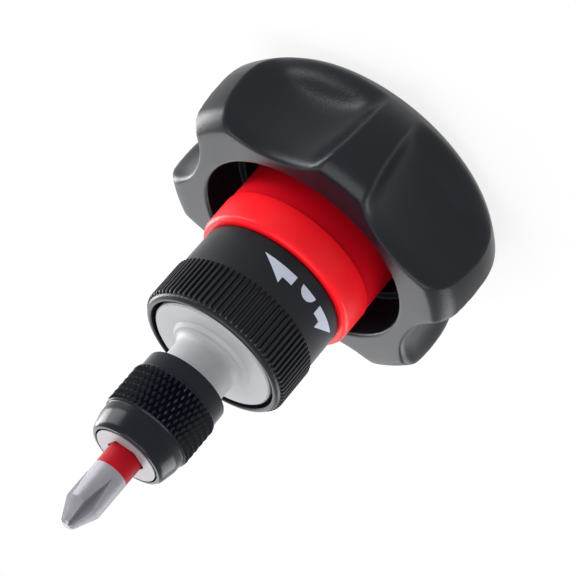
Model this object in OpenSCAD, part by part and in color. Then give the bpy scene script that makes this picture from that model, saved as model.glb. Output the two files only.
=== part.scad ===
// A ratcheting screwdriver with a palm knob, a three-way ratchet and a quick-change bit chuck.
// It stands on the flat end of its knob. Z runs along the tool, from the knob's end up to the tip.
// The lobe of the knob that faces -Y is the front.

/* [Knob] */
// Radius over the knob's ridges
knob_r = 31; // [29:0.5:34]
// Height of the knob, from its flat end to its underside
knob_h = 22.5; // [21:0.5:26]
// Radius of the round opening in the underside, as a share of the knob's radius
mouth_share = 0.658; // [0.64:0.001:0.68]
// Number of ridges, with a finger scoop between each two
ridge_count = 6; // [5:1:7]
// Radius of a finger scoop's sides, across the grip
scoop_r = 17; // [16:0.1:17.5]
// Depth of a finger scoop below the ridges at mid height
scoop_depth = 7; // [5:0.1:7.5]
// Thickness of the web that the collar is screwed to
web_t = 3; // [2:0.1:4]
// Height of the web's rear face above the knob's end
web_z = 6; // [5:0.1:7]
// Thickness of the end cap's disc
cap_t = 2; // [1.5:0.1:2.5]
// Radius of the end cap, as a share of the knob's radius
cap_share = 0.5775; // [0.55:0.0005:0.59]

/* [Collar] */
// Wall of the red collar round the housing
collar_wall = 3.4; // [3.2:0.1:4.5]
// Wall of the collar at its front seam
collar_front_wall = 2.5; // [2.3:0.1:2.8]
// Height of the collar, from the web to its front face
collar_h = 21.8; // [20:0.1:23]
// Thickness of the collar's floor, which the housing stands on
collar_floor_t = 3; // [2:0.1:4]
// Width of the collar's floor, from the housing's outside inwards
collar_floor_w = 4; // [3:0.5:6]
// Width that the collar's foot stands out on the web
collar_foot_w = 1.2; // [0.8:0.1:1.5]
// Height of the collar's foot
collar_foot_h = 3; // [2:0.1:5]

/* [Handle screws] */
// Number of screws that hold the knob to the collar
screw_count = 3; // [3:1:6]
// Radius of a screw's shank
screw_r = 1.25; // [1:0.05:1.3]
// Length of a screw's shank
screw_l = 11; // [8:0.5:14]
// Radius of a screw's head
screw_head_r = 2.3; // [2:0.1:2.4]
// Height of a screw's head
screw_head_h = 1.8; // [1.5:0.1:2]

/* [Ratchet housing] */
// Outer radius of the housing, which the selector ring turns on, as a share of the knob's radius
housing_share = 0.3871; // [0.385:0.0001:0.395]
// Wall of the housing round the ratchet chamber
housing_wall = 1.1; // [1:0.05:1.15]
// Thickness of the housing's front wall
front_wall_t = 3.5; // [3:0.1:4]
// Thickness of the rear plate, which carries the spindle's tail
rear_plate_t = 4; // [3:0.1:5]
// Wall of the front bush
bush_wall = 2; // [1.5:0.1:2.2]

/* [Spindle] */
// Radius of the front journal
journal_r = 5; // [4.8:0.05:5.2]
// Radius of the gear seat
gear_seat_r = 4; // [3.8:0.05:4.1]
// Radius of the rear journal
tail_r = 3.5; // [3.3:0.05:3.6]
// Length of the tail behind its clip
tail_end_l = 0.9; // [0.5:0.1:2]
// Thickness of the flange
flange_t = 2; // [1.5:0.1:2.2]
// Width of the flange outside its raised boss
flange_ledge_w = 4; // [3.5:0.1:4.3]
// Height of the raised boss
boss_h = 0.6; // [0.4:0.05:0.8]
// Radius of the neck
neck_r = 6; // [5.8:0.05:6.1]
// Length of the neck, from the flange to the nose's step
neck_l = 9.5; // [9:0.1:12]
// Height of the round fillet between boss and neck
neck_fillet_h = 1.9; // [1.5:0.1:2.4]
// Radius of the nose under the chuck sleeve
nose_r = 5.4; // [5.3:0.05:5.5]
// Width of the hexagon socket across its flats
socket_af = 6.5; // [6.45:0.05:6.6]
// Length of the nose, from its step to the mouth of the socket
nose_reach = 14.1; // [13:0.1:17]
// Depth of the hexagon socket
socket_depth = 9.4; // [9:0.1:10]

/* [Ratchet] */
// Number of gear teeth, a multiple of twelve
gear_teeth = 24; // [24:12:24]
// Radius over the gear's teeth, as a share of the chamber's radius
gear_share = 0.6972; // [0.69:0.0005:0.702]
// Depth of a tooth
tooth_depth = 1.15; // [1.1:0.05:1.2]
// Width of the gear
gear_w = 7; // [6:0.5:7.5]
// Distance from the collar's front face to the gear
gear_rise = 2.2; // [2:0.1:3]
// Distance from the gear to the rear plate
gear_rear_l = 2; // [1.5:0.1:2.5]
// Distance from the gear to the housing's front wall
gear_collar_l = 2.5; // [2:0.1:4]
// Distance of a pawl's pivot from the axis, as a share of the chamber's radius
pivot_share = 0.844; // [0.84:0.0005:0.848]
// Radius of a pawl's pin
pawl_pin_r = 0.8; // [0.7:0.05:0.85]
// Depth that a pawl's nose reaches into the gear in the middle position
pawl_bite = 0.45; // [0.4:0.05:0.5]
// Angle that a pawl swings each way
pawl_swing = 6; // [5:0.5:6]

/* [Selector ring] */
// Wall of the ring's smooth band, round the housing
band_wall = 2; // [1.8:0.1:2.2]
// Height of the grip ribs above the band
rib_h = 0.45; // [0.3:0.05:0.8]
// Number of grip ribs
rib_count = 80; // [60:4:90]
// Length of the ribbed grip, from the ring's front edge
ribs_l = 9.4; // [8:0.1:11]
// Distance that the ring's front edge stands out past the flange
ring_proud = 0.3; // [0.1:0.1:0.6]
// Gap between the flange and the ring's front bore
mouth_gap = 0.75; // [0.7:0.05:0.9]
// Angle between the middle position and a drive position
selector_throw = 27.5; // [20:0.5:30]

/* [Chuck] */
// Radius over the sleeve's knurled grip
sleeve_knurl_r = 8.4; // [8.2:0.1:8.8]
// Radius of the sleeve's smooth bands
sleeve_r = 7.9; // [7.8:0.05:8.1]
// Length of the sleeve behind the nose's step
sleeve_tail_l = 2.6; // [2:0.1:3]
// Length of the sleeve's smooth rear band
rear_band_l = 3.3; // [2.5:0.1:4]
// Length of the sleeve's smooth front band, with its taper
front_band_l = 5.1; // [4.5:0.1:6]
// Distance that the sleeve slides back to free the bit
sleeve_stroke = 2; // [1.6:0.1:2]
// Radius of the lock ball
ball_r = 1.1; // [1.05:0.01:1.12]

/* [Bit] */
// Width of the bit's hexagon across its flats
bit_af = 6.35; // [6.3:0.01:6.36]
// Length of the bit
bit_l = 25; // [24.5:0.5:26]
// Radius of the bit's round body
bit_body_r = 3.2; // [3.1:0.05:3.2]
// Length of the coloured band that shows
band_show_l = 4; // [3:0.1:5]
// Length of the pointed end
point_l = 4.2; // [3.6:0.1:4.6]
// Radius of the blunt tip
tip_r = 1.15; // [1:0.05:1.3]

/* [Hidden] */

// One overrun serves every cut
cut = 0.5;
// Running clearance of the turning and sliding fits
run_gap = 0.05;
// Gap between faces that pass each other
face_gap = 0.2;
// Play of the hexagon ball and bit fits
ball_gap = 0.03;

// Directions round the axis, in degrees
front_angle = -90;
marks_angle = -118;
ratchet_angle = marks_angle + 180;
socket_angle = 14;
blade_angle = -108;

// The knob's outline beside a ridge, as shares of its radius and height, from the mouth outwards
ridge_shares = [[0.871, 1], [0.923, 0.973], [0.958, 0.905], [0.99, 0.78], [1, 0.6],
                [1, 0.49], [0.974, 0.34], [0.929, 0.22], [0.874, 0.12], [0.813, 0.045],
                [0.735, 0]];
// The radius of a scoop's sides along the knob, as shares of its radius and the knob's height
side_shares = [[0.945, 1.15], [0.965, 0.89], [1, 0.61], [1, 0.05]];
// A scoop's floor along the knob, as shares of the floor's radius and the knob's height
floor_shares = [[0.929, 1.1], [0.945, 0.955], [0.979, 0.822], [1, 0.644], [1.033, 0.467],
                [1.079, 0.364], [1.146, 0.289], [1.229, 0.187], [1.35, 0.085]];
scoop_floor_r = knob_r - scoop_depth;
scoop_side_w = 0.8;
scoop_axis_r = scoop_floor_r - scoop_side_w + scoop_r;
knob_mouth_r = knob_r * mouth_share;
housing_r = knob_r * housing_share;
cap_r = knob_r * cap_share;
cap_gap = 0.1;
cap_skirt_t = 1.2;
cap_skirt_h = 2.5;
cap_edge = 0.4;
// The cavity steps in near its floor
cavity_step_w = 1.5;
cavity_step_r = knob_mouth_r - cavity_step_w;
cavity_step_h = 4;
mouth_round = 0.8;
web_hole_r = 5;

collar_z = web_z + web_t;
collar_r = housing_r + collar_wall;
collar_front_r = housing_r + collar_front_wall;
collar_floor_hole_r = housing_r - collar_floor_w;
collar_foot_r = collar_r + collar_foot_w;
screw_circle_r = housing_r + collar_wall / 2;
collar_round_h = 1.5;
collar_round_shares = [[0, 1], [0.45, 0.9], [0.78, 0.65], [0.95, 0.33], [1, 0]];
housing_z = collar_z + collar_floor_t;
screw_hole_r = screw_r + run_gap;
screw_clear_r = 1.5;
slot_w = 0.7;
slot_depth = 0.8;

// The ratchet is stacked on the collar's front face: gear, front wall, flange, neck and nose
collar_top_z = collar_z + collar_h;
gear_z = collar_top_z + gear_rise;
front_wall_z = gear_z + gear_w + gear_collar_l;
housing_top_z = front_wall_z + front_wall_t;
rear_plate_top_z = gear_z - gear_rear_l;
rear_plate_z = rear_plate_top_z - rear_plate_t;
chamber_r = housing_r - housing_wall;
front_bush_r = journal_r + bush_wall;
washer_t = 0.45;
// The flange is as wide as the housing
flange_r = housing_r;
boss_r = flange_r - flange_ledge_w;
washer_w = 4;
washer_r = journal_r + washer_w;
flange_z = housing_top_z + washer_t + run_gap;
flange_top_z = flange_z + flange_t;
flange_edge = 0.3;
boss_top_z = flange_top_z + boss_h;
neck_z = boss_top_z + neck_fillet_h;
nose_step_z = flange_top_z + neck_l;
nose_top_z = nose_step_z + nose_reach;
journal_z = front_wall_z - cut;
seat_z = rear_plate_top_z + cut;
clip_t = 0.8;
clip_gap = 0.1;
spindle_clip_z = rear_plate_z - clip_gap - clip_t;
spindle_end_z = spindle_clip_z - tail_end_l;
spindle_clip_depth = 0.5;
spindle_clip_w = 1.9;
spindle_clip_r = tail_r + spindle_clip_w;
ring_clip_depth = 0.5;
ring_clip_rise = 2;
ring_clip_z = front_wall_z + ring_clip_rise;
ring_clip_w = 0.6;
ring_clip_r = housing_r + ring_clip_w;
clip_mouth = 50;

gear_r = chamber_r * gear_share;
gear_hub_wall = 2;
gear_hub_r = gear_seat_r + gear_hub_wall;
gear_hub_rear_z = rear_plate_top_z + face_gap + clip_gap;
tooth_pitch = 360 / gear_teeth;
// A tooth space's half angles at the tips and at its foot, as shares of the pitch
space_tip_share = 0.33;
space_foot_share = 0.14;
key_w = 1.5;
key_depth = 0.8;
key_l = 5;

// Places of the pawls, measured from the ratchet's mirror line
pawl_nose_angle = 97.5;
pawl_reach = 40;
pawl_pivot_r = chamber_r * pivot_share;
pawl_angle = pawl_nose_angle - pawl_reach;
pawl_t = gear_w - 3 * face_gap;
pawl_z = gear_z + (gear_w - pawl_t) / 2;
pawl_eye_r = 1.4;
pawl_tip_r = gear_r - pawl_bite;
nose_half_w = 0.12;
nose_l = 1.2;
nose_slope = 0.33;
// The pawl's arm and tail, as shares of the pivot's distance and of the reach
arm_shares = [[1.13, 0.08], [0.89, 0.12], [0.885, 0.45], [0.89, 0.75]];
arm_back_shares = [[0.955, 1.12], [1.055, 1.07], [1.07, 0.75], [1.1, 0.38]];
tail_shares = [[1.02, 0.06], [1.37, -0.08], [1.37, -0.225], [1.0, -0.21]];
pin_seat = 1.1;
leaf_t = 0.3;
leaf_w = 5;
leaf_from_share = 0.45;
leaf_to_share = 1.3;
window_from_share = -0.36;
window_to_share = 0.05;
pocket_depth = 1.1;
pocket_r = housing_r + pocket_depth;
pocket_wall_share = 1.08;

band_r = housing_r + band_wall;
rib_r = band_r + rib_h;
ring_mouth_r = flange_r + mouth_gap;
ring_z = collar_top_z + face_gap;
ring_top_z = flange_top_z + ring_proud;
rib_z = ring_top_z - ribs_l;
ring_step_z = ring_clip_z - clip_gap;
ring_round = 1.2;
rib_top_z = ring_top_z - ring_round;
// Half widths of a rib at its root and at its top, as shares of the pitch
rib_foot_share = 0.38;
rib_tip_share = 0.17;
lip_w = 0.75;
lip_r = ring_mouth_r + lip_w;
// The detent sits in the collar's front face
detent_r = 0.8;
detent_inset = 1.2;
detent_circle_r = housing_r + detent_inset;
detent_well_r = 0.86;
detent_depth = 6.8;
detent_wire_r = 0.15;
detent_coil_r = 0.55;
detent_curls = 6;
detent_angle = ratchet_angle + 150;
dimple_depth = 0.25;

// The half symbols on the band: thickness and sizes along and across the band
mark_t = 0.06;
mark_rise = 2.6;
mark_base_z = ring_z + mark_rise;
mark_dot_r = 1.75;
mark_arrow_shift = selector_throw;
arrow_l = 6.9;
arrow_shaft_l = 2;
arrow_h = 3.1;
arrow_shaft_h = 1.8;

rim_set_in = 0.1;
sleeve_rear_z = nose_step_z - sleeve_tail_l;
sleeve_front_z = nose_top_z - rim_set_in;
knurl_rear_z = sleeve_rear_z + rear_band_l;
knurl_front_z = sleeve_front_z - front_band_l;
sleeve_land_r = nose_r + run_gap;
sleeve_neck_bore_r = neck_r + run_gap;
spring_room_w = 1.6;
spring_room_r = nose_r + spring_room_w;
spring_room_z = nose_step_z - 2 * face_gap;
spring_room_l = 6;
spring_room_top_z = nose_step_z + spring_room_l;
spring_wire_r = 0.3;
spring_coil_gap = 1;
spring_coil_r = nose_r + spring_coil_gap;
spring_curls = 3;
spring_washer_t = 0.6;
spring_washer_r = spring_room_r - face_gap + run_gap;
ball_set_in = 5.1;
ball_z = nose_top_z - ball_set_in;
ball_in_r = bit_af / 2 + ball_gap;
ball_centre_r = ball_in_r + ball_r;
// The ramp rises outwards by this share of the slide, and keeps the ball's gap all the way
ramp_slope_share = 0.25;
ball_lift = ramp_slope_share * sleeve_stroke;
ramp_r = ball_centre_r + (ball_r + ball_gap) / cos(atan(ramp_slope_share)) + ball_lift;
ramp_top_z = ball_z + sleeve_stroke;
ramp_foot_z = ramp_top_z - (ramp_r - sleeve_land_r) / ramp_slope_share;
ramp_room_l = 0.95;
ramp_room_z = ramp_top_z + ramp_room_l;
rim_bore_r = 6.3;
rim_r = 6.85;
rim_edge = 0.45;
sleeve_taper_l = 3.4;
sleeve_taper_r = 7.25;
nose_ring_l = 1.55;
sleeve_stop_z = nose_top_z - nose_ring_l;
sleeve_edge = 0.35;
knurl_edge = 0.3;
nose_ring_r = 6;
nose_ring_bore_r = 5;
nose_ring_wall = 0.5;

socket_z = nose_top_z - socket_depth;
magnet_r = 2.9;
magnet_t = 3;
magnet_bore_r = magnet_r + run_gap;
tip_z = socket_z + bit_l;
bit_neck_r = 2.6;
band_hidden_l = 1.1;
band_z = nose_top_z - band_hidden_l;
band_top_z = nose_top_z + band_show_l;
bit_chamfer = 0.4;
tip_round = 0.35;
flute_from_band = 1.5;
flute_start_z = band_top_z + flute_from_band;
flute_foot_r = 0.75;
flute_w = 8;

$fn = 96;

function polar(r, a) = [r * cos(a), r * sin(a)];
function hex_r(af) = af / 2 / cos(30);
function smooth(t) = t * t * (3 - 2 * t);

// Places the ratchet's parts, which are drawn about the mirror line
module at_ratchet() {
    rotate([0, 0, ratchet_angle]) children();
}

module ring(outer, inner, z, h) {
    translate([0, 0, z]) difference() {
        cylinder(r = outer, h = h);
        translate([0, 0, -cut]) cylinder(r = inner, h = h + 2 * cut);
    }
}

module hex_prism(af, z, h) {
    rotate([0, 0, socket_angle]) translate([0, 0, z]) cylinder(r = hex_r(af), h = h, $fn = 6);
}

// A coil spring as one tube: rings of six points carried along a helix
module coil(coil_r, wire_r, curls, z, h) {
    rings = 8 * curls;
    sides = 6;
    rise = h - 2 * wire_r;
    centres = [for (i = [0:rings]) concat(polar(coil_r, 45 * i), [z + wire_r + rise * i / rings])];
    points = [for (i = [0:rings], k = [0:sides - 1])
        concat(polar(coil_r + wire_r * cos(60 * k), 45 * i),
               [centres[i][2] + wire_r * sin(60 * k)])];
    walls = [for (i = [0:rings - 1], k = [0:sides - 1])
        let (a = i * sides + k, b = i * sides + (k + 1) % sides)
        each [[a, b, b + sides], [a, b + sides, a + sides]]];
    last = rings * sides;
    ends = concat([for (k = [1:sides - 2]) [0, k + 1, k]],
                  [for (k = [1:sides - 2]) [last, last + k, last + k + 1]]);
    gaps = [for (i = [0:rings - 4], j = [i + 4:rings]) norm(centres[i] - centres[j]) - 2 * wire_r];
    echo(least_gap_of_the_coil_to_itself = min(gaps));
    polyhedron(points = points, faces = concat(walls, ends));
}

module knob_body() {
    rotate_extrude() polygon(concat([[0, 0], [0, knob_h]],
        [for (p = ridge_shares) [knob_r * p[0], knob_h * p[1]]]));
}

// A finger scoop: a floor that runs straight across, between rounded sides
module scoop() {
    intersection() {
        translate([scoop_axis_r, 0, 0]) rotate_extrude() polygon(concat(
            [for (p = side_shares) [scoop_r * p[0], knob_h * p[1]]],
            [[0, knob_h * side_shares[3][1]], [0, knob_h * side_shares[0][1]]]));
        rotate([90, 0, 0]) linear_extrude(height = 2 * knob_r, center = true) polygon(concat(
            [for (p = floor_shares) [scoop_floor_r * p[0], knob_h * p[1]]],
            [[2 * knob_r, knob_h * floor_shares[8][1]], [2 * knob_r, knob_h * floor_shares[0][1]]]));
    }
}

// The round opening, with its rounded edge, and the step near its floor
module knob_cavity() {
    step_z = collar_z + cavity_step_h;
    rotate_extrude() polygon([[0, collar_z], [cavity_step_r, collar_z], [cavity_step_r, step_z],
        [knob_mouth_r, step_z], [knob_mouth_r, knob_h - mouth_round],
        [knob_mouth_r + mouth_round, knob_h], [knob_mouth_r + mouth_round, knob_h + cut],
        [0, knob_h + cut]]);
}

module knob_shell() {
    color([0.07, 0.075, 0.085]) difference() {
        knob_body();
        for (i = [0:ridge_count - 1])
            rotate([0, 0, front_angle + (i + 1 / 2) * 360 / ridge_count]) scoop();
        knob_cavity();
        translate([0, 0, -cut]) cylinder(r = cap_r + cap_gap, h = web_z + cut);
        translate([0, 0, web_z - cut]) cylinder(r = web_hole_r, h = web_t + 2 * cut);
        at_screws() translate([0, 0, web_z - cut]) cylinder(r = screw_clear_r, h = web_t + 2 * cut);
    }
}

module end_cap() {
    skirt_z = cap_t + cap_skirt_h;
    color([0.08, 0.08, 0.09]) rotate_extrude() polygon([[0, 0], [cap_r - cap_edge, 0],
        [cap_r, cap_edge], [cap_r, skirt_z], [cap_r - cap_skirt_t, skirt_z],
        [cap_r - cap_skirt_t, cap_t], [0, cap_t]]);
}

module at_screws() {
    for (i = [0:screw_count - 1]) rotate([0, 0, front_angle + (i + 1 / 2) * 360 / screw_count])
        translate([screw_circle_r, 0, 0]) children();
}

// Pan-head screws with a straight slot
module handle_screws() {
    color([0.62, 0.63, 0.65]) at_screws() difference() {
        union() {
            translate([0, 0, web_z - screw_head_h]) cylinder(r = screw_head_r, h = screw_head_h);
            translate([0, 0, web_z - cut]) cylinder(r = screw_r, h = screw_l + cut);
        }
        translate([-screw_head_r - cut, -slot_w / 2, web_z - screw_head_h - cut])
            cube([2 * screw_head_r + 2 * cut, slot_w, slot_depth + cut]);
    }
}

module detent_well(r, z, h) {
    rotate([0, 0, detent_angle]) translate([detent_circle_r, 0, z]) cylinder(r = r, h = h);
}

module red_collar() {
    round_w = collar_r - collar_front_r;
    round_z = collar_top_z - collar_round_h;
    foot_z = collar_z + collar_foot_h;
    color([0.9, 0.06, 0.08]) difference() {
        rotate_extrude() polygon(concat([[collar_floor_hole_r, collar_z], [collar_foot_r, collar_z],
            [collar_foot_r, foot_z], [collar_r, foot_z + collar_foot_r - collar_r]],
            [for (i = [len(collar_round_shares) - 1:-1:0])
                [collar_front_r + round_w * collar_round_shares[i][0],
                 round_z + collar_round_h * collar_round_shares[i][1]]],
            [[housing_r, collar_top_z], [housing_r, housing_z], [collar_floor_hole_r, housing_z]]));
        at_screws() translate([0, 0, collar_z - cut]) cylinder(r = screw_hole_r, h = screw_l + cut);
        detent_well(detent_well_r, collar_top_z - detent_depth, detent_depth + cut);
    }
}

// A tube that is open to the rear, with a front wall for the bush and the pawl pins,
// a window for each pawl's tail and a groove for the ring's circlip
module ratchet_housing() {
    color([0.55, 0.56, 0.58]) difference() {
        translate([0, 0, housing_z]) cylinder(r = housing_r, h = housing_top_z - housing_z);
        translate([0, 0, housing_z - cut]) cylinder(r = chamber_r, h = front_wall_z - housing_z + cut);
        translate([0, 0, front_wall_z - cut]) cylinder(r = front_bush_r, h = front_wall_t + 2 * cut);
        ring(housing_r + cut, housing_r - ring_clip_depth, ring_clip_z, clip_t);
        at_ratchet() for (side = [0, 1]) mirror([0, side, 0]) {
            pawl_pin_seat(front_wall_z - cut, pin_seat + cut);
            tail_window();
        }
    }
}

module pawl_pin_seat(z, h) {
    translate(concat(polar(pawl_pivot_r, pawl_angle), [z]))
        cylinder(r = pawl_pin_r + ball_gap, h = h);
}

module tail_window() {
    a0 = pawl_angle + window_from_share * pawl_reach;
    a1 = pawl_angle + window_to_share * pawl_reach;
    translate([0, 0, gear_z]) linear_extrude(height = gear_w)
        polygon([polar(chamber_r - cut, a0), polar(housing_r + 2 * cut, a0),
                 polar(housing_r + 2 * cut, a1), polar(chamber_r - cut, a1)]);
}

module front_bush() {
    color([0.75, 0.6, 0.3]) ring(front_bush_r, journal_r + ball_gap, front_wall_z, front_wall_t);
}

module rear_plate() {
    color([0.6, 0.6, 0.62]) difference() {
        ring(chamber_r, tail_r + ball_gap, rear_plate_z, rear_plate_t);
        at_ratchet() for (side = [0, 1]) mirror([0, side, 0])
            pawl_pin_seat(rear_plate_top_z - pin_seat, pin_seat + cut);
    }
}

module thrust_washer() {
    color([0.75, 0.6, 0.3]) ring(washer_r, journal_r + run_gap, housing_top_z, washer_t);
}

// A flat ring with a gap, held in a groove
module circlip(outer, inner, z) {
    difference() {
        ring(outer, inner, z, clip_t);
        translate([0, 0, z - cut]) linear_extrude(height = clip_t + 2 * cut)
            polygon([[0, 0], polar(2 * outer, -clip_mouth / 2), polar(2 * outer, clip_mouth / 2)]);
    }
}

module ring_circlip() {
    color([0.5, 0.5, 0.52]) circlip(ring_clip_r, housing_r - ring_clip_depth, ring_clip_z);
}

module pawl_pin() {
    at_ratchet() translate(concat(polar(pawl_pivot_r, pawl_angle), [rear_plate_top_z - pin_seat]))
        cylinder(r = pawl_pin_r, h = front_wall_z - rear_plate_top_z + 2 * pin_seat);
}

module mirror_ratchet() {
    at_ratchet() mirror([0, 1, 0]) rotate([0, 0, -ratchet_angle]) children();
}

module pawl_pin_left() {
    color([0.7, 0.7, 0.72]) pawl_pin();
}

module pawl_pin_right() {
    color([0.7, 0.7, 0.72]) mirror_ratchet() pawl_pin();
}

// A curved leaf against the chamber's wall, drawn pressed flat
module pawl_leaf() {
    a0 = pawl_angle + leaf_from_share * pawl_reach;
    a1 = pawl_angle + leaf_to_share * pawl_reach;
    at_ratchet() rotate([0, 0, a0]) translate([0, 0, gear_z + (gear_w - leaf_w) / 2])
        rotate_extrude(angle = a1 - a0) translate([chamber_r - leaf_t, 0]) square([leaf_t, leaf_w]);
}

module pawl_leaf_left() {
    color([0.45, 0.5, 0.6]) pawl_leaf();
}

module pawl_leaf_right() {
    color([0.45, 0.5, 0.6]) mirror_ratchet() pawl_leaf();
}

module detent_ball() {
    color([0.8, 0.8, 0.82]) rotate([0, 0, detent_angle])
        translate([detent_circle_r, 0, ring_z - run_gap - detent_r]) sphere(r = detent_r);
}

module detent_spring() {
    spring_z = collar_top_z - detent_depth;
    color([0.7, 0.7, 0.72]) rotate([0, 0, detent_angle]) translate([detent_circle_r, 0, 0])
        coil(detent_coil_r, detent_wire_r, detent_curls, spring_z,
             ring_z - 2 * run_gap - 2 * detent_r - spring_z);
}

// The ribs that stand on the band, each a small trapezoid
module grip_ribs() {
    pitch = 360 / rib_count;
    for (i = [0:rib_count - 1]) rotate([0, 0, (i + 1 / 2) * pitch]) translate([0, 0, rib_z])
        linear_extrude(height = rib_top_z - rib_z)
            polygon([polar(ring_mouth_r + cut, -rib_foot_share * pitch),
                     polar(rib_r, -rib_tip_share * pitch),
                     polar(rib_r, rib_tip_share * pitch),
                     polar(ring_mouth_r + cut, rib_foot_share * pitch)]);
}

// A pocket that lets a pawl's tail stand still until the ring nears the end of its throw
module tail_pocket() {
    middle = pawl_angle + (tail_shares[1][1] + tail_shares[2][1]) / 2 * pawl_reach;
    half = selector_throw * pocket_wall_share;
    rotate([0, 0, middle - half]) translate([0, 0, gear_z]) rotate_extrude(angle = 2 * half)
        translate([housing_r - cut, 0]) square([pocket_r - housing_r + cut, gear_w]);
}

// A band with ribs in front of it, bored for the housing, the circlip and the flange
module selector_ring() {
    color([0.1, 0.105, 0.115]) difference() {
        union() {
            rotate_extrude() polygon([[housing_r + run_gap, ring_z], [band_r, ring_z],
                [band_r, rib_top_z + run_gap], [lip_r, ring_top_z], [ring_mouth_r, ring_top_z],
                [ring_mouth_r, ring_step_z], [housing_r + run_gap, ring_step_z]]);
            grip_ribs();
        }
        at_ratchet() for (side = [0, 1]) mirror([0, side, 0]) tail_pocket();
        for (i = [-1:1]) rotate([0, 0, detent_angle + i * selector_throw])
            translate([detent_circle_r, 0, ring_z - detent_r + dimple_depth]) sphere(r = detent_r);
    }
}

module half_arrow() {
    polygon([[-arrow_l / 2, 0], [arrow_l / 2, 0], [arrow_l / 2, arrow_shaft_h],
             [arrow_l / 2 - arrow_shaft_l, arrow_shaft_h], [arrow_l / 2 - arrow_shaft_l, arrow_h]]);
}

module half_dot() {
    intersection() {
        circle(r = mark_dot_r);
        translate([-mark_dot_r, 0]) square([2 * mark_dot_r, mark_dot_r]);
    }
}

// Presses a flat symbol onto the band at an angle
module on_band(a) {
    intersection() {
        ring(band_r + mark_t, band_r, mark_base_z - cut, arrow_h + 2 * cut);
        rotate([0, 0, a]) translate([0, 0, mark_base_z]) rotate([90, 0, 90])
            linear_extrude(height = 2 * band_r) children();
    }
}

module direction_marks() {
    color([0.82, 0.84, 0.9]) {
        on_band(marks_angle) half_dot();
        on_band(marks_angle - mark_arrow_shift) half_arrow();
        on_band(marks_angle + mark_arrow_shift) mirror([1, 0]) half_arrow();
    }
}

function arm_point(p) = polar(pawl_pivot_r * p[0], pawl_angle + pawl_reach * p[1]);
function nose_point(along, across) = let (c = polar(1, pawl_nose_angle))
    [c[0] * along - c[1] * across, c[1] * along + c[0] * across];

// A rocking pawl: an eye, an arm that ends in a wedge-shaped nose, and a tail
module pawl() {
    wide = nose_half_w + nose_l * nose_slope;
    at_ratchet() translate([0, 0, pawl_z]) difference() {
        union() {
            translate(concat(polar(pawl_pivot_r, pawl_angle), [0]))
                cylinder(r = pawl_eye_r, h = pawl_t);
            linear_extrude(height = pawl_t) polygon(concat([for (p = arm_shares) arm_point(p)],
                [nose_point(pawl_tip_r + nose_l, -wide), nose_point(pawl_tip_r, -nose_half_w),
                 nose_point(pawl_tip_r, nose_half_w), nose_point(pawl_tip_r + nose_l, wide)],
                [for (p = arm_back_shares) arm_point(p)]));
            linear_extrude(height = pawl_t) polygon([for (p = tail_shares) arm_point(p)]);
        }
        translate(concat(polar(pawl_pivot_r, pawl_angle), [-cut]))
            cylinder(r = pawl_pin_r + ball_gap, h = pawl_t + 2 * cut);
    }
}

module pawl_left() {
    color([0.4, 0.42, 0.46]) pawl();
}

module pawl_right() {
    color([0.4, 0.42, 0.46]) mirror_ratchet() pawl();
}

// The turned spindle: tail, gear seat, journal, flange, boss, neck and nose
module spindle() {
    arc_steps = 6;
    arc_w = boss_r - boss_h - neck_r;
    bore_z = socket_z - magnet_t - clip_gap;
    color([0.74, 0.75, 0.77]) difference() {
        rotate_extrude() polygon(concat([[0, spindle_end_z], [tail_r, spindle_end_z],
            [tail_r, seat_z], [gear_seat_r, seat_z], [gear_seat_r, journal_z],
            [journal_r, journal_z], [journal_r, flange_z], [flange_r - flange_edge, flange_z],
            [flange_r, flange_z + flange_edge], [flange_r, flange_top_z - flange_edge],
            [flange_r - flange_edge, flange_top_z], [boss_r, flange_top_z]],
            [for (i = [0:arc_steps]) let (a = 90 * i / arc_steps)
                [neck_r + arc_w * (1 - sin(a)), neck_z - neck_fillet_h * cos(a)]],
            [[neck_r, nose_step_z], [nose_r, nose_step_z], [nose_r, sleeve_stop_z],
             [nose_ring_bore_r, sleeve_stop_z], [nose_ring_bore_r, nose_top_z - nose_ring_wall],
             [0, nose_top_z - nose_ring_wall]]));
        hex_prism(socket_af, socket_z, socket_depth + cut);
        translate([0, 0, bore_z]) cylinder(r = magnet_bore_r, h = socket_z - bore_z + cut);
        rotate([0, 0, socket_angle + 30]) translate([0, 0, ball_z]) rotate([0, 90, 0])
            cylinder(r = ball_r + ball_gap, h = nose_r + cut);
        ring(tail_r + cut, tail_r - spindle_clip_depth, spindle_clip_z, clip_t);
        key_slot();
    }
}

module key_slot() {
    translate([gear_seat_r - key_depth, -key_w / 2, gear_z + (gear_w - key_l) / 2])
        cube([2 * key_depth, key_w, key_l]);
}

module gear_outline() {
    root_r = gear_r - tooth_depth;
    polygon([for (i = [0:gear_teeth - 1]) let (a = i * tooth_pitch) each [
        polar(gear_r, a - (1 / 2 - space_tip_share) * tooth_pitch),
        polar(gear_r, a + (1 / 2 - space_tip_share) * tooth_pitch),
        polar(root_r, a + (1 / 2 - space_foot_share) * tooth_pitch),
        polar(root_r, a + (1 / 2 + space_foot_share) * tooth_pitch)]]);
}

module ratchet_gear() {
    color([0.5, 0.5, 0.53]) difference() {
        union() {
            at_ratchet() translate([0, 0, gear_z]) linear_extrude(height = gear_w) gear_outline();
            translate([0, 0, gear_hub_rear_z])
                cylinder(r = gear_hub_r, h = journal_z - gear_hub_rear_z);
        }
        translate([0, 0, gear_hub_rear_z - cut])
            cylinder(r = gear_seat_r, h = journal_z - gear_hub_rear_z + 2 * cut);
        translate([0, -key_w / 2, gear_hub_rear_z - cut])
            cube([gear_seat_r + key_depth, key_w, journal_z - gear_hub_rear_z + 2 * cut]);
    }
}

module drive_key() {
    color([0.65, 0.65, 0.68]) key_slot();
}

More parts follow.
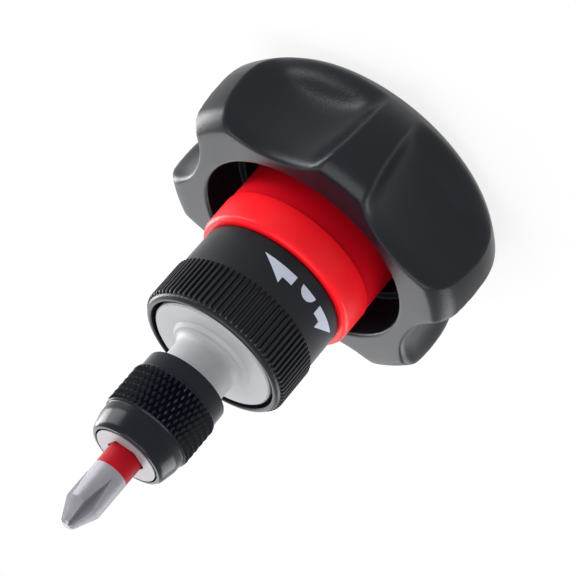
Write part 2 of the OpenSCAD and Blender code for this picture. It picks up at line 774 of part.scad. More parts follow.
module spindle_circlip() {
    color([0.5, 0.5, 0.52]) circlip(spindle_clip_r, tail_r - spindle_clip_depth, spindle_clip_z);
}

module spring_washer() {
    color([0.7, 0.7, 0.72]) ring(spring_washer_r, nose_r + run_gap, nose_step_z, spring_washer_t);
}

module sleeve_spring() {
    spring_z = nose_step_z + spring_washer_t + run_gap;
    color([0.7, 0.7, 0.72])
        coil(spring_coil_r, spring_wire_r, spring_curls, spring_z, spring_room_top_z - run_gap - spring_z);
}

module magnet() {
    color([0.3, 0.31, 0.33]) translate([0, 0, socket_z - magnet_t - clip_gap])
        cylinder(r = magnet_r, h = magnet_t);
}

// A cap pressed on the nose, which stops the sleeve and frames the socket
module nose_ring() {
    bore_h = nose_top_z - nose_ring_wall - sleeve_stop_z;
    color([0.82, 0.83, 0.85]) difference() {
        translate([0, 0, sleeve_stop_z]) cylinder(r = nose_ring_r, h = nose_top_z - sleeve_stop_z);
        translate([0, 0, sleeve_stop_z - cut]) cylinder(r = nose_ring_bore_r, h = bore_h + cut);
        hex_prism(socket_af, sleeve_stop_z, nose_top_z - sleeve_stop_z + cut);
    }
}

// The sliding sleeve: a land on the neck, a room for the spring, a land on the nose,
// a ramp that frees the ball, and a rim round the nose ring
module chuck_sleeve() {
    color([0.09, 0.09, 0.1]) rotate_extrude() polygon([
        [sleeve_neck_bore_r, sleeve_rear_z], [sleeve_r - sleeve_edge, sleeve_rear_z],
        [sleeve_r, sleeve_rear_z + sleeve_edge], [sleeve_r, knurl_rear_z],
        [sleeve_knurl_r, knurl_rear_z + knurl_edge], [sleeve_knurl_r, knurl_front_z - knurl_edge],
        [sleeve_r, knurl_front_z], [sleeve_r, sleeve_front_z - sleeve_taper_l],
        [sleeve_taper_r, sleeve_front_z - rim_edge], [rim_r, sleeve_front_z],
        [rim_bore_r, sleeve_front_z], [rim_bore_r, sleeve_stop_z - run_gap],
        [sleeve_land_r, sleeve_stop_z - run_gap], [sleeve_land_r, ramp_room_z],
        [ramp_r, ramp_room_z], [ramp_r, ramp_top_z], [sleeve_land_r, ramp_foot_z],
        [sleeve_land_r, spring_room_top_z],
        [spring_room_r, spring_room_top_z], [spring_room_r, spring_room_z],
        [sleeve_neck_bore_r, spring_room_z]]);
}

module lock_ball() {
    color([0.8, 0.8, 0.82]) rotate([0, 0, socket_angle + 30])
        translate([ball_centre_r, 0, ball_z]) sphere(r = ball_r);
}

// A V-shaped flute that deepens towards the tip
module flute() {
    run = tip_z - flute_start_z;
    fall = bit_body_r - flute_foot_r;
    lean = atan2(fall, run);
    translate([bit_body_r, 0, flute_start_z]) rotate([0, -lean, 0]) rotate([0, 0, -45])
        translate([0, 0, -run]) cube([flute_w, flute_w, 3 * run]);
}

module bit() {
    neck_z = band_z;
    point_z = tip_z - point_l;
    color([0.68, 0.69, 0.71]) difference() {
        union() {
            intersection() {
                hex_prism(bit_af, socket_z, neck_z - socket_z);
                rotate_extrude() polygon([[0, socket_z], [bit_af / 2, socket_z],
                    [bit_af / 2 + bit_chamfer, socket_z + bit_chamfer],
                    [bit_af, socket_z + bit_chamfer], [bit_af, neck_z], [0, neck_z]]);
            }
            rotate_extrude() polygon([[0, neck_z - cut], [bit_neck_r, neck_z - cut],
                [bit_neck_r, band_top_z], [bit_body_r, band_top_z], [bit_body_r, point_z],
                [tip_r + tip_round / 2, tip_z - tip_round], [tip_r - tip_round, tip_z], [0, tip_z]]);
        }
        for (i = [0:3]) rotate([0, 0, blade_angle + 90 * i]) flute();
    }
}

module bit_band() {
    color([0.75, 0.06, 0.13]) ring(bit_body_r, bit_neck_r, band_z, band_top_z - band_z);
}

knob_shell();
end_cap();
handle_screws();
red_collar();
ratchet_housing();
front_bush();
rear_plate();
thrust_washer();
ring_circlip();
pawl_pin_left();
pawl_pin_right();
pawl_leaf_left();
pawl_leaf_right();
detent_ball();
detent_spring();
selector_ring();
direction_marks();
pawl_left();
pawl_right();
spindle();
ratchet_gear();
drive_key();
spindle_circlip();
spring_washer();
sleeve_spring();
magnet();
nose_ring();
chuck_sleeve();
lock_ball();
bit();
bit_band();
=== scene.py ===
"""Ratcheting screwdriver: looks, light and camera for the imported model.

Lengths here are in millimetres, unless a comment says otherwise, and MM takes them to Blender's
metres. Z runs along the tool, from the flat end of the knob up to the tip of the bit.
"""
import bpy
import numpy as np
from mathutils import Matrix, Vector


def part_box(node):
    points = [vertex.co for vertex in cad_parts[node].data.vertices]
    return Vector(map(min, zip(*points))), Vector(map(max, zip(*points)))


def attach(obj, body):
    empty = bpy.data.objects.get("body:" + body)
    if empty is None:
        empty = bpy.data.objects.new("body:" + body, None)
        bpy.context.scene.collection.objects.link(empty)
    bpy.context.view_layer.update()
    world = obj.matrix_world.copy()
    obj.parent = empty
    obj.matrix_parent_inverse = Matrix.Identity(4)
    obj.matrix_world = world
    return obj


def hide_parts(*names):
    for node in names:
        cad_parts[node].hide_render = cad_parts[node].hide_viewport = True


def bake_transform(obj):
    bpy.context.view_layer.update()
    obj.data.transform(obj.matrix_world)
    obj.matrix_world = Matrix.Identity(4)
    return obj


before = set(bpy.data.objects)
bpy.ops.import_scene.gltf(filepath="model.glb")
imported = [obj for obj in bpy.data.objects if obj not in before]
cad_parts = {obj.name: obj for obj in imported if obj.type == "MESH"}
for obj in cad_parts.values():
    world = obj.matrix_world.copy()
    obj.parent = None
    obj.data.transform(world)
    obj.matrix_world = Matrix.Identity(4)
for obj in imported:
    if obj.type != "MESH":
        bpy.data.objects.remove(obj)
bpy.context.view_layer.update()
scene = bpy.context.scene

MM = 0.001


# Places that the frame gives

def node_box(node):
    """The lowest and the highest corner of a CAD node."""
    return [np.array(corner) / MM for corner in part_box(node)]


# The collar stands on the knob's web, and the housing on the collar's floor
(_, _, KNOB_TOP) = node_box("knob_shell")[1]
(_, _, WEB_TOP), (FOOT_R, _, COLLAR_TOP) = node_box("red_collar")
(_, _, HOUSING_Z), (HOUSING_R, _, _) = node_box("ratchet_housing")
(_, _, RING_Z), (_, _, RING_TOP) = node_box("selector_ring")
(_, _, SLEEVE_Z), (_, _, SLEEVE_TOP) = node_box("chuck_sleeve")
SPRING_LOW, SPRING_HIGH = node_box("sleeve_spring")


# Curves and surfaces

def smooth(knots, x):
    """The value at x of a smooth curve through the knots (x, value): between two knots a cubic,
    whose slope at each comes from the knots beside it."""
    place, value = np.transpose(np.array(knots, float))
    slope = np.gradient(value, place)
    x = np.clip(x, place[0], place[-1])
    i = np.clip(np.searchsorted(place, x, "right") - 1, 0, len(place) - 2)
    run = place[i + 1] - place[i]
    t = (x - place[i]) / run
    return ((2 * t ** 3 - 3 * t ** 2 + 1) * value[i] + (t ** 3 - 2 * t ** 2 + t) * run * slope[i]
            + (3 * t ** 2 - 2 * t ** 3) * value[i + 1] + (t ** 3 - t ** 2) * run * slope[i + 1])


def straight(knots, x):
    """The value at x of straight lines through the knots (x, value)."""
    return np.interp(x, *np.transpose(knots))


def smallest(a, b, fillet):
    """The smaller of two arrays, with a round fillet of this size where they meet."""
    mix = np.clip(0.5 + 0.5 * (b - a) / fillet, 0, 1)
    return b * (1 - mix) + a * mix - fillet * mix * (1 - mix)


def rounded(corners, spacing, bend=7, loop=True):
    """A profile through corners (r, z, rounding). Each corner gives way to a quadratic curve of
    `bend` points, between the places that lie `rounding` before and after it. Straight runs get
    points about `spacing` apart. A profile that is no loop ends at its last corner."""
    place, size = np.split(np.array(corners, float), [2], 1)
    back, on = np.roll(place, 1, 0) - place, np.roll(place, -1, 0) - place
    enter = place + size * back / np.linalg.norm(back, axis=1, keepdims=True)
    leave = place + size * on / np.linalg.norm(on, axis=1, keepdims=True)
    t = np.linspace(0, 1, bend)[:, None]
    points = []
    for k in range(len(place)):
        if size[k] > 0:
            points.append((1 - t) ** 2 * enter[k] + 2 * t * (1 - t) * place[k] + t ** 2 * leave[k])
        else:
            points.append(place[k:k + 1])
        if loop or k + 1 < len(place):
            run = enter[(k + 1) % len(place)] - leave[k]
            steps = max(1, int(np.linalg.norm(run) / spacing))
            points.append(leave[k] + run * np.arange(1, steps)[:, None] / steps)
    return np.concatenate(points)


def round_turn(count):
    """This many angles, spread evenly over one turn."""
    return np.linspace(0, 2 * np.pi, count, endpoint=False)


def turned(radius, height, turn):
    """The points (radius cos turn, radius sin turn, height) as a grid [turn, profile]."""
    radius, height, turn = np.broadcast_arrays(radius, height, turn[:, None])
    return np.stack([radius * np.cos(turn), radius * np.sin(turn), height], -1)


def surface(name, grid, closed_profile=True, crisp=None):
    """A piece of quads on a grid of points [turn, profile]. The turn always closes on itself. So
    does the profile, or else its first and its last row are each closed by one face. Where crisp
    is true along the profile, the quads are shaded flat."""
    turns, steps = grid.shape[:2]
    near = np.arange(turns * steps).reshape(turns, steps)
    far = np.roll(near, -1, 0)
    near_next, far_next = np.roll(near, -1, 1), np.roll(far, -1, 1)
    corners = np.stack([near, far, far_next, near_next], -1)
    if closed_profile:
        faces = corners.reshape(-1, 4).tolist()
    else:
        faces = corners[:, :-1].reshape(-1, 4).tolist()
        faces += [near[::-1, 0].tolist(), near[:, -1].tolist()]
    mesh = bpy.data.meshes.new(name)
    mesh.from_pydata((grid.reshape(-1, 3) * MM).tolist(), [], faces)
    mesh.shade_smooth()
    if crisp is not None:
        mesh.polygons.foreach_set("use_smooth", np.tile(~crisp, turns))
    piece = bpy.data.objects.new(name, mesh)
    scene.collection.objects.link(piece)
    return piece


# Knob

SCOOP_COUNT = 6
# Along the knob, as (height, value): the radius over its ridges, the radius of the barrel that cuts
# the sides of a scoop, the distance of a scoop's floor from the axis, and the size of the rounding
# between ridge and scoop
RIDGE_R = [(0, 22.6), (0.35, 24.0), (1.0, 25.3), (2.7, 27.2), (4.95, 28.9), (7.65, 30.25),
           (11.0, 31.0), (14, 31.05), (17.6, 30.7), (20.4, 30.0), (KNOB_TOP, 29.2)]
BARREL_R = [(0, 17), (7, 17), (13.5, 17), (20, 16.4), (KNOB_TOP, 16.1)]
FLOOR_R = [(0, 36), (1.9, 32.4), (4.2, 29.4), (6.5, 27.4), (8.2, 25.9), (10.5, 24.8), (14.5, 24.0),
           (18.5, 23.5), (KNOB_TOP, 22.9)]
RIDGE_ROUNDING = [(0, 4.6), (7, 4.0), (13, 2.0), (KNOB_TOP, 1.6)]
BARREL_AXIS_R = 40.2
# Slope of a scoop's sides past the edge of its barrel
SIDE_SLOPE = 0.8
# Fillet between a scoop's floor and sides, and how far it lifts the middle of the floor
FLOOR_FILLET, FILLET_LIFT = 3.0, 0.8
# Columns round the knob, and rows up its side, round its top edge and across its flat face
KNOB_COLUMNS, SIDE_ROWS, EDGE_ROWS, FACE_ROWS = 540, 62, 14, 4


def knob_radius(turn, height):
    """Radius of the knob: the ridge outline, cut by the scoops, with a ridge towards -Y. With q the
    angle from a scoop's middle, its floor is the plane floor / cos(q). Its side is
    d cos(q) - sqrt(b^2 - d^2 sin^2(q)), the near wall of a barrel of radius b whose axis stands d
    from the knob's, and past the barrel's edge it slopes on outwards. The scoop is the larger of
    floor and side."""
    pitch = 2 * np.pi / SCOOP_COUNT
    q = (turn + np.pi / 2) % pitch - pitch / 2
    inside = smooth(BARREL_R, height) ** 2 - (BARREL_AXIS_R * np.sin(q)) ** 2
    side = (BARREL_AXIS_R * np.cos(q) - np.sqrt(np.maximum(inside, 0))
            + SIDE_SLOPE * np.sqrt(np.maximum(-inside, 0)))
    floor = smooth(FLOOR_R, height) / np.cos(q) - FILLET_LIFT
    scoop = -smallest(-side, -floor, FLOOR_FILLET)
    return smallest(smooth(RIDGE_R, height), scoop, straight(RIDGE_ROUNDING, height))


def make_knob():
    """The knob as one closed surface: up its scooped outside, round the top edge by a quarter of an
    ellipse, in over the flat face to the mouth, down the stepped hollow, through the web's hole and
    out over the flat end."""
    edge_h, least_lean, most_lean, lean_share = 3.4, 0.9, 2.4, 0.26
    rim_r, mouth_r, step_r, hole_r, recess_r, end_r = 21.2, 20.4, 18.9, 5, 18, 22.0
    web_t, step_h = 3, 4
    web_z, step_z = WEB_TOP - web_t, WEB_TOP + step_h
    turn = round_turn(KNOB_COLUMNS)
    # the rows lie closer together near the flat end, where the outline bends most
    crowding = 1.3
    side_z = (KNOB_TOP - edge_h) * np.linspace(0, 1, SIDE_ROWS) ** crowding
    side = knob_radius(turn[:, None], side_z[None])
    bend = np.linspace(0, np.pi / 2, EDGE_ROWS + 1)[1:]
    edge_z = KNOB_TOP - edge_h * (1 - np.sin(bend))
    edge = knob_radius(turn[:, None], edge_z[None])
    # the edge leans in by more on a ridge than in a scoop
    proud = edge[:, -1:] - FLOOR_R[-1][1]
    lean = np.clip(least_lean + lean_share * proud, least_lean, most_lean)
    edge = edge - lean * (1 - np.cos(bend))
    face = edge[:, -1:] + (rim_r - edge[:, -1:]) * np.linspace(0, 1, FACE_ROWS + 2)[1:-1]
    hollow_r, hollow_z = rounded([
        (rim_r, KNOB_TOP, 0), (mouth_r, KNOB_TOP, 0.75), (mouth_r, step_z, 0.4),
        (step_r, step_z, 0.3), (step_r, WEB_TOP, 0.4), (hole_r, WEB_TOP, 0.3), (hole_r, web_z, 0.3),
        (recess_r, web_z, 0.3), (recess_r, 0, 0.25), (end_r, 0, 0)], spacing=1.6, loop=False).T
    strips = [turned(radius, height, turn) for radius, height in (
        (side, side_z), (edge, edge_z), (face, KNOB_TOP), (hollow_r, hollow_z))]
    return surface("knob", np.concatenate(strips, 1))


# Collar

# Height at which the collar's bright band begins. Below it the collar's red is darker: painted
# shade, standing for the knob's shade over the collar's rear
SEAM_Z = 24.3
COLLAR_COLUMNS = 256


def make_collar():
    """The red collar: a turned sleeve on a wider foot, with a fine step at its seam."""
    hole_r, ankle_r, rear_r, band_r, front_r, edge_r = 8.0, 15.25, 15.18, 15.42, 15.36, 14.75
    ankle_z, edge_z = HOUSING_Z + 1.2, COLLAR_TOP - 0.6
    step_z, step_top = SEAM_Z - 0.1, SEAM_Z + 0.06
    radius, height = rounded([
        (hole_r, WEB_TOP, 0), (FOOT_R, WEB_TOP, 0.3), (FOOT_R, HOUSING_Z, 0.3),
        (ankle_r, ankle_z, 0.3), (rear_r, step_z, 0.05), (band_r, step_top, 0.1),
        (front_r, edge_z, 0.35), (edge_r, COLLAR_TOP, 0.25), (HOUSING_R, COLLAR_TOP, 0),
        (HOUSING_R, HOUSING_Z, 0), (hole_r, HOUSING_Z, 0)], spacing=0.9).T
    return surface("collar", turned(radius, height, round_turn(COLLAR_COLUMNS)))


# Direction ring

RIB_COUNT = 80
# A rib across its pitch, as (place, height), both as shares
RIB_ACROSS = [(-0.5, 0), (-0.28, 0), (-0.255, 0.1), (-0.2, 0.88), (-0.17, 0.99), (-0.06, 1.04),
              (0.06, 1.04), (0.17, 0.99), (0.2, 0.88), (0.255, 0.1), (0.28, 0)]
# A rib along the ring, as (distance from its rear end, height)
RIB_ALONG = [(0, 0), (0.18, 0.33), (0.38, 0.5), (7.88, 0.5), (8.08, 0.46), (8.18, 0.44),
             (8.4, 0.2), (8.5, 0)]


def make_ring():
    """The direction ring: a turned band, and crisp ribs from its rear shoulder to its front lip.
    The height of a rib is the product of RIB_ACROSS and RIB_ALONG."""
    play, chamfer_h, lip_drop = 0.05, 0.07, 0.15
    bore_r, mouth_r, lip_r, bevel_r = HOUSING_R + play, 12.75, 13.3, 13.75
    band_r, root_r, ribs_z, step_z = 14.0, 13.92, 39.42, 44.4
    ribs_top, lip_z = ribs_z + RIB_ALONG[-1][0], RING_TOP - lip_drop
    run_out_z, shoulder_z, bevel_z = ribs_top - 0.17, ribs_top + 0.03, lip_z - 0.3
    place, share = np.transpose(RIB_ACROSS)
    turn = (2 * np.pi / RIB_COUNT * (np.arange(RIB_COUNT)[:, None] + place)).ravel()
    radius, height = rounded([
        (bore_r, RING_Z, 0.2), (band_r, RING_Z, 0.3), (band_r, ribs_z - chamfer_h, 0.05),
        *((root_r, ribs_z + along, 0) for along, _ in RIB_ALONG[:-2]),
        (root_r, run_out_z, 0.1), (root_r, shoulder_z, 0.09), (bevel_r, bevel_z, 0.2),
        (lip_r, lip_z, 0.2), (mouth_r, lip_z, 0.25), (mouth_r, step_z, 0.1),
        (bore_r, step_z, 0.1)], spacing=2.5, bend=5).T
    # the ribs are only on the outside
    outside_r = root_r - 0.07
    ribbed = (radius > outside_r) & (height > ribs_z)
    rise = np.where(ribbed, root_r + straight(RIB_ALONG, height - ribs_z) - radius, 0)
    rib = np.tile(share, RIB_COUNT)[:, None] * np.maximum(rise, 0)
    return surface("grip_ring", turned(radius + rib, height, turn))


# Chuck sleeve

# Number of diamonds round the sleeve, and length of one along it
DIAMONDS_AROUND, DIAMOND_L = 48, 2.64
# Points across a diamond, both round the sleeve and along it
DIAMOND_POINTS = 12
# Height of a diamond, depth of its root below the knurl's own radius, and slope of its sides
DIAMOND_H, ROOT_DEPTH, DIAMOND_SLOPE = 0.52, 0.4, 1.15


def make_sleeve():
    """The chuck sleeve: a turned tube with a diamond knurl. Two helical saw waves u and v run round
    it, and the height of a diamond is 1 - max(|u|, |v|), made steeper and cut off flat at 1."""
    rear_bore_r, spring_r, nose_bore_r, ball_r, nose_ring_r = 6.05, 7.0, 5.45, 5.97, 6.3
    spring_z, spring_top, ramp_z, ball_z, ball_top = 57.6, 64.0, 66.9, 69.0, 69.95
    band_r, knurl_r, taper_r, edge_r, rim_r = 7.9, 8.3, 7.93, 7.3, 6.85
    knurl_z, knurl_top, knurl_rows, chamfer_h = 58.85, 66.75, 35, 0.3
    taper_z, edge_z, nose_ring_z = 68.7, SLEEVE_TOP - 0.55, SLEEVE_TOP - 1.5
    profile = rounded([
        (rear_bore_r, SLEEVE_Z, 0.15), (band_r, SLEEVE_Z, 0.35),
        (band_r, knurl_z - chamfer_h, 0.12), (knurl_r, knurl_z, 0.1), (knurl_r, knurl_top, 0.1),
        (band_r, knurl_top + chamfer_h, 0.12), (taper_r, taper_z, 0.4), (edge_r, edge_z, 0.4),
        (rim_r, SLEEVE_TOP, 0.2), (nose_ring_r, SLEEVE_TOP, 0.12), (nose_ring_r, nose_ring_z, 0.1),
        (nose_bore_r, nose_ring_z, 0.1), (nose_bore_r, ball_top, 0), (ball_r, ball_top, 0),
        (ball_r, ball_z, 0), (nose_bore_r, ramp_z, 0), (nose_bore_r, spring_top, 0.1),
        (spring_r, spring_top, 0.2), (spring_r, spring_z, 0.2), (rear_bore_r, spring_z, 0.1)],
        spacing=2.0, bend=5)
    radius, height = profile.T
    # on the knurl, each row moves a helix on by one column, so its edges fall on points
    outside_r, margin, first_row, run_out = knurl_r - 0.15, 0.05, 0.11, 0.25
    between = (height > knurl_z + margin) & (height < knurl_top - margin)
    knurled = between & (radius > outside_r)
    rows_z = knurl_z + first_row + np.arange(knurl_rows) * DIAMOND_L / DIAMOND_POINTS
    rows = np.stack([np.full(knurl_rows, knurl_r), rows_z], 1)
    radius, height = np.insert(profile[~knurled], [np.argmax(knurled)], rows, 0).T
    turn = round_turn(DIAMONDS_AROUND * DIAMOND_POINTS)
    around, along = DIAMONDS_AROUND * turn[:, None] / (2 * np.pi), height / DIAMOND_L
    saw = np.maximum(np.abs((around + along) % 1 - 0.5), np.abs((around - along) % 1 - 0.5))
    diamond = np.clip(DIAMOND_SLOPE * (1 - 2 * saw), 0, 1)
    # the knurl is only on the outside, and runs out over a short way at its two ends
    inward = np.minimum(height - knurl_z, knurl_top - height) + margin
    zone = np.clip(inward / run_out, 0, 1) * (radius > outside_r)
    knurl = (DIAMOND_H * diamond - ROOT_DEPTH) * zone
    return surface("knurled_sleeve", turned(radius + knurl, height, turn), crisp=zone > 0.5)


# Return spring

SPRING_WIRE_R, SPRING_CURLS = 0.3, 3
# Points along a curl, and round the wire
CURL_POINTS, WIRE_POINTS = 24, 12


def make_spring():
    """The sleeve's return spring: a round wire on the helix (R cos a, R sin a, z), which rises
    evenly from bottom to top of its CAD node's box. Round the wire, a point leans out by r cos(k)
    and down by r sin(k)."""
    along = np.linspace(0, 1, CURL_POINTS * SPRING_CURLS + 1)
    lean = round_turn(WIRE_POINTS)[:, None]
    angle = 2 * np.pi * SPRING_CURLS * along
    radius = SPRING_HIGH[0] - SPRING_WIRE_R * (1 - np.cos(lean)) + 0 * along
    rise = SPRING_HIGH[2] - SPRING_LOW[2] - 2 * SPRING_WIRE_R
    height = SPRING_LOW[2] + SPRING_WIRE_R * (1 - np.sin(lean)) + rise * along
    points = np.stack([radius * np.cos(angle), radius * np.sin(angle), height], -1)
    return surface("return_spring", points, closed_profile=False)


# Finishes

# Scales of the clouds of tint and gloss and of a turned metal's rings, per metre
CLOUD_SCALE, RING_SCALE = 160, 2600
# Levels of the clouds between which the tint goes from its darkest to its lightest
TINT_FROM, TINT_TO = 0.3, 0.7
# Depth of the grain, and half the width of a seam between two colours, in metres
GRAIN_DEPTH, SEAM_BLUR = 0.00004, 0.00008


def add_node(tree, kind, inputs, **settings):
    """A new shader node with its settings. Each input is a value, or an output to link to."""
    node = tree.nodes.new("ShaderNode" + kind)
    for name, value in settings.items():
        setattr(node, name, value)
    for place, value in inputs.items():
        if isinstance(value, bpy.types.NodeSocket):
            tree.links.new(value, node.inputs[place])
        else:
            node.inputs[place].default_value = value
    return node


def finish(name, colour, rough, metal=0.0, specular=0.5, grain=0.0, grain_scale=900.0, turning=0.0,
           rough_spread=0.06, tint_spread=0.12, rear=None):
    """A procedural finish on Object coordinates. Clouds vary its colour and roughness by their
    spreads. A fine grain, and on turned metal rings along Z, give the bump. A rear colour, if any,
    takes over below the collar's seam. On the collar this rear colour is painted shade: a darker
    red that stands for the knob's shade over the collar's rear."""
    material = bpy.data.materials.new(name)
    material.use_nodes = True
    tree = material.node_tree
    shader = tree.nodes["Principled BSDF"]
    shader.inputs["Metallic"].default_value = metal
    shader.inputs["Specular IOR Level"].default_value = specular
    place = add_node(tree, "TexCoord", {}).outputs["Object"]
    cloud = add_node(tree, "TexNoise", {
        "Vector": place, "Scale": CLOUD_SCALE, "Detail": 4}).outputs["Fac"]

    tint = add_node(tree, "ValToRGB", {"Fac": cloud})
    ends = tint.color_ramp.elements
    ends[0].position, ends[1].position = TINT_FROM, TINT_TO
    ends[0].color = [c * (1 - tint_spread) for c in colour] + [1]
    ends[1].color = [min(1, c * (1 + tint_spread)) for c in colour] + [1]
    base = tint.outputs["Color"]
    # painted shade: below the seam the base colour turns to the darker rear red, for the knob's
    # shade there
    if rear:
        height = add_node(tree, "SeparateXYZ", {"Vector": place}).outputs["Z"]
        below = add_node(tree, "MapRange", {
            "Value": height, "From Min": SEAM_Z * MM + SEAM_BLUR,
            "From Max": SEAM_Z * MM - SEAM_BLUR}).outputs["Result"]
        first, second, mixed = 6, 7, 2  # the colour sockets of a Mix node
        base = add_node(tree, "Mix", {"Factor": below, first: base, second: (*rear, 1)},
                        data_type="RGBA").outputs[mixed]
    tree.links.new(base, shader.inputs["Base Color"])

    gloss = add_node(tree, "MapRange", {
        "Value": cloud, "To Min": rough - rough_spread, "To Max": rough + rough_spread})
    tree.links.new(gloss.outputs["Result"], shader.inputs["Roughness"])

    relief = add_node(tree, "TexNoise", {
        "Vector": place, "Scale": grain_scale, "Detail": 3}).outputs["Fac"]
    if turning:
        # noise drawn out across the axis makes rings round it
        drawn_out = add_node(tree, "Mapping", {"Vector": place, "Scale": (0.02, 0.02, 1)})
        rings = add_node(tree, "TexNoise", {
            "Vector": drawn_out.outputs["Vector"], "Scale": RING_SCALE, "Detail": 2})
        relief = add_node(tree, "Math", {0: rings.outputs["Fac"], 1: turning, 2: relief},
                          operation="MULTIPLY_ADD").outputs["Value"]
    bump = add_node(tree, "Bump", {"Height": relief, "Strength": grain, "Distance": GRAIN_DEPTH})
    tree.links.new(bump.outputs["Normal"], shader.inputs["Normal"])
    return material


knob_black = finish("moulded_black", (0.002, 0.004, 0.008), 0.32, specular=0.24,
                    grain=1.0, grain_scale=3200)
ring_black = finish("ring_black", (0.003, 0.004, 0.008), 0.36, specular=0.24,
                    grain=0.15, grain_scale=3000)
cap_black = finish("cap_black", (0.016, 0.017, 0.02), 0.5, grain=0.7, grain_scale=2200)
# the collar's rear colour is painted shade: a darker red below the seam, for the shade that the
# knob casts on it
collar_red = finish("collar_red", (0.96, 0.008, 0.016), 0.34, specular=0.16, grain=0.2,
                    grain_scale=2400, tint_spread=0.05, rear=(0.67, 0.003, 0.013))
band_red = finish("band_red", (0.38, 0.003, 0.012), 0.36, specular=0.1, grain=0.25,
                  grain_scale=3000, tint_spread=0.08)
mark_white = finish("mark_white", (0.5, 0.55, 0.66), 0.55, grain=0.3, grain_scale=4000,
                    tint_spread=0.04)
satin_nickel = finish("satin_nickel", (0.385, 0.392, 0.41), 0.55, metal=0.15, specular=0.25,
                      grain=0.5, grain_scale=3500, turning=0.6, tint_spread=0.05)
bright_nickel = finish("bright_nickel", (0.33, 0.325, 0.34), 0.5, metal=0.5, specular=0.3,
                       grain=0.3, grain_scale=3500, turning=0.4, tint_spread=0.04)
sleeve_black = finish("black_oxide", (0.002, 0.004, 0.009), 0.25, specular=0.19, grain=0.3,
                      grain_scale=3000, turning=0.3, rough_spread=0.03, tint_spread=0.1)
bit_steel = finish("bit_steel", (0.255, 0.248, 0.275), 0.42, metal=0.6, specular=0.25, grain=0.6,
                   grain_scale=2800, rough_spread=0.1, tint_spread=0.08)
plain_steel = finish("plain_steel", (0.5, 0.51, 0.53), 0.38, metal=1.0, grain=0.4, turning=0.5,
                     tint_spread=0.06)
hard_steel = finish("hard_steel", (0.3, 0.31, 0.34), 0.35, metal=1.0, grain=0.4, tint_spread=0.1)
spring_steel = finish("spring_steel", (0.42, 0.43, 0.46), 0.3, metal=1.0, grain=0.2,
                      tint_spread=0.1)
bronze = finish("bronze", (0.55, 0.36, 0.14), 0.4, metal=1.0, grain=0.4, turning=0.4,
                tint_spread=0.1)
magnet_grey = finish("magnet_grey", (0.24, 0.25, 0.27), 0.32, metal=1.0, grain=0.2,
                     tint_spread=0.05)

# The CAD nodes that stay as they are get their finish
for material, nodes in (
        (cap_black, ["end_cap"]),
        (mark_white, ["direction_marks"]),
        (satin_nickel, ["spindle"]),
        (bright_nickel, ["nose_ring"]),
        (bit_steel, ["bit"]),
        (band_red, ["bit_band"]),
        (magnet_grey, ["magnet"]),
        (bronze, ["front_bush", "thrust_washer"]),
        (plain_steel, ["handle_screws", "ratchet_housing", "rear_plate", "spring_washer"]),
        (spring_steel, ["ring_circlip", "spindle_circlip", "pawl_leaf_left", "pawl_leaf_right",
                        "detent_spring"]),
        (hard_steel, ["pawl_left", "pawl_right", "pawl_pin_left", "pawl_pin_right",
                      "ratchet_gear", "drive_key", "detent_ball", "lock_ball"])):
    for node in nodes:
        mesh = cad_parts[node].data
        mesh.materials.clear()
        mesh.materials.append(material)

# The new pieces ride where the nodes that they stand for do
for piece, material, node, body, slot in (
        (make_knob(), knob_black, "knob_shell", "handle", "knob_black"),
        (make_collar(), collar_red, "red_collar", "handle", "collar_red"),
        (make_ring(), ring_black, "selector_ring", "selector", "ring_black"),
        (make_sleeve(), sleeve_black, "chuck_sleeve", "chuck_sleeve", "sleeve_black")):
    piece.data.materials.append(material)
    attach(piece, body)
    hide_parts(node)

# The return spring, which shortens between the spindle and the sleeve, is one fixed piece here, at
# its CAD length
spring = make_spring()
spring.data.materials.append(spring_steel)
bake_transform(spring)
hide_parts("sleeve_spring")


# Floor and background

def white_to_camera(tree, lit, share, fade=None):
    """Camera, mirror and glass rays see plain white mixed into the lit surface, by a share. Over a
    fade, two distances from the origin in metres, the share rises until the white is all."""
    rays = add_node(tree, "LightPath", {}).outputs
    seen = add_node(tree, "Math", {0: rays["Is Camera Ray"], 1: rays["Is Glossy Ray"]},
                    operation="MAXIMUM").outputs["Value"]
    seen = add_node(tree, "Math", {0: seen, 1: rays["Is Transmission Ray"]},
                    operation="MAXIMUM").outputs["Value"]
    if fade:
        place = add_node(tree, "TexCoord", {}).outputs["Object"]
        distance = add_node(tree, "VectorMath", {0: place}, operation="LENGTH").outputs["Value"]
        share = add_node(tree, "MapRange", {
            "Value": distance, "From Min": fade[0], "From Max": fade[1],
            "To Min": share, "To Max": 1.0}, interpolation_type="SMOOTHSTEP").outputs["Result"]
    amount = add_node(tree, "Math", {0: seen, 1: share}, operation="MULTIPLY").outputs["Value"]
    white = add_node(tree, "Emission", {"Color": (1, 1, 1, 1)}).outputs["Emission"]
    return add_node(tree, "MixShader", {"Fac": amount, 1: lit, 2: white}).outputs["Shader"]


# The floor's corners, in metres, aren't centred on the knob: the quad's diagonal would cross under
# it and show as a line. A small gap keeps the floor clear of the knob's flat end
FLOOR_CORNERS = [(-4, -2, 0), (2, -2, 0), (2, 2, 0), (-4, 2, 0)]
FLOOR_GAP = 0.2
SKY_LEVEL = 0.58
floor_mesh = bpy.data.meshes.new("floor")
floor_mesh.from_pydata(FLOOR_CORNERS, [], [(0, 1, 2, 3)])
floor = bpy.data.objects.new("floor", floor_mesh)
floor.location.z = -FLOOR_GAP * MM
scene.collection.objects.link(floor)
floor_pale = bpy.data.materials.new("floor_pale")
floor_pale.use_nodes = True
tree = floor_pale.node_tree
pale = tree.nodes["Principled BSDF"]
pale.inputs["Base Color"].default_value = (0.8, 0.8, 0.8, 1)
pale.inputs["Roughness"].default_value = 0.9
from_above = white_to_camera(tree, pale.outputs["BSDF"], share=0.85, fade=(0.06, 0.6))
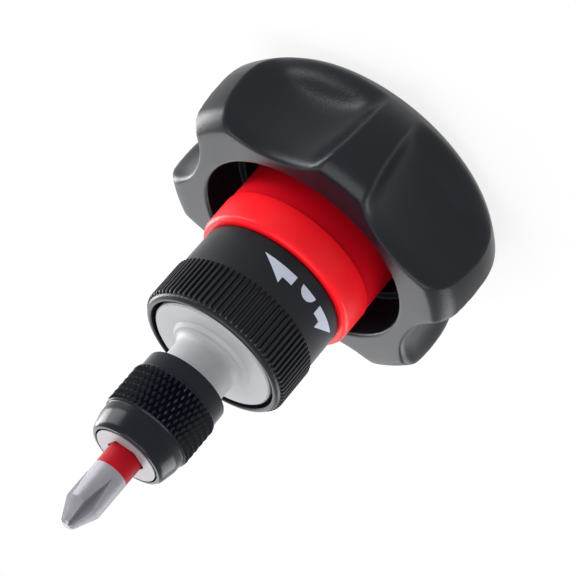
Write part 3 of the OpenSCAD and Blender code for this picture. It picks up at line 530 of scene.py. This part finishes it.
# The floor is clear from below, so that the knob's flat end can be looked at
backface = add_node(tree, "NewGeometry", {}).outputs["Backfacing"]
clear = add_node(tree, "BsdfTransparent", {}).outputs["BSDF"]
by_side = add_node(tree, "MixShader", {"Fac": backface, 1: from_above, 2: clear})
tree.links.new(by_side.outputs["Shader"], tree.nodes["Material Output"].inputs["Surface"])
floor_mesh.materials.append(floor_pale)

world = bpy.data.worlds.new("world")
scene.world = world
world.use_nodes = True
tree = world.node_tree
sky = tree.nodes["Background"]
sky.inputs["Color"].default_value = (1, 1, 1, 1)
sky.inputs["Strength"].default_value = SKY_LEVEL
background = white_to_camera(tree, sky.outputs["Background"], share=1.0)
tree.links.new(background, tree.nodes["World Output"].inputs["Surface"])


# Lamps and camera

def stand(holder, place, target, roll=0.0):
    """Puts a lamp or a camera at place and turns it to target, with Z upright in its view and then
    rolled by some degrees. Its axes are right, up and away, which points back from the target."""
    away = np.subtract(place, target) / np.linalg.norm(np.subtract(place, target))
    level = np.cross((0, 0, 1), away)
    level /= np.linalg.norm(level)
    upright = np.cross(away, level)
    c, s = np.cos(np.radians(roll)), np.sin(np.radians(roll))
    axes = [c * level + s * upright, c * upright - s * level, away, np.multiply(place, MM)]
    rows = np.transpose(axes).tolist() + [[0, 0, 0, 1]]
    holder.matrix_world = Matrix(rows)
    scene.collection.objects.link(holder)


# Name, place, height on the tool's axis that the lamp faces, width, height and watts
for name, place, target_z, width, height, power in (
        ("left_window", (235, -40, 45), 14, 150, 85, 0.28),
        ("back_left", (235, 165, 60), 16, 220, 100, 0.8),
        ("back", (20, 330, 170), 20, 300, 200, 0.45),
        ("back_right", (-240, 120, 60), 20, 200, 115, 0.35),
        ("overhead", (0, -60, 420), 30, 350, 350, 1.15)):
    light = bpy.data.lights.new(name, "AREA")
    light.shape = "RECTANGLE"
    light.size, light.size_y = width * MM, height * MM
    light.energy = power
    lamp = bpy.data.objects.new(name, light)
    lamp.visible_camera = False
    stand(lamp, place, (0, 0, target_z))

# The photograph's viewing angle: the tool crosses the picture, and its bit is at the lower left
CAMERA_PLACE, CAMERA_TARGET, CAMERA_ROLL = (-26.3, -340.65, 195.8), (-2.49, 0, 29.56), -139.7
camera_data = bpy.data.cameras.new("camera")
camera_data.lens, camera_data.sensor_width = 137.5, 36
camera_data.clip_start, camera_data.clip_end = 10 * MM, 20000 * MM
camera = bpy.data.objects.new("camera", camera_data)
stand(camera, CAMERA_PLACE, CAMERA_TARGET, CAMERA_ROLL)
scene.camera = camera
scene.view_settings.view_transform = "Standard"
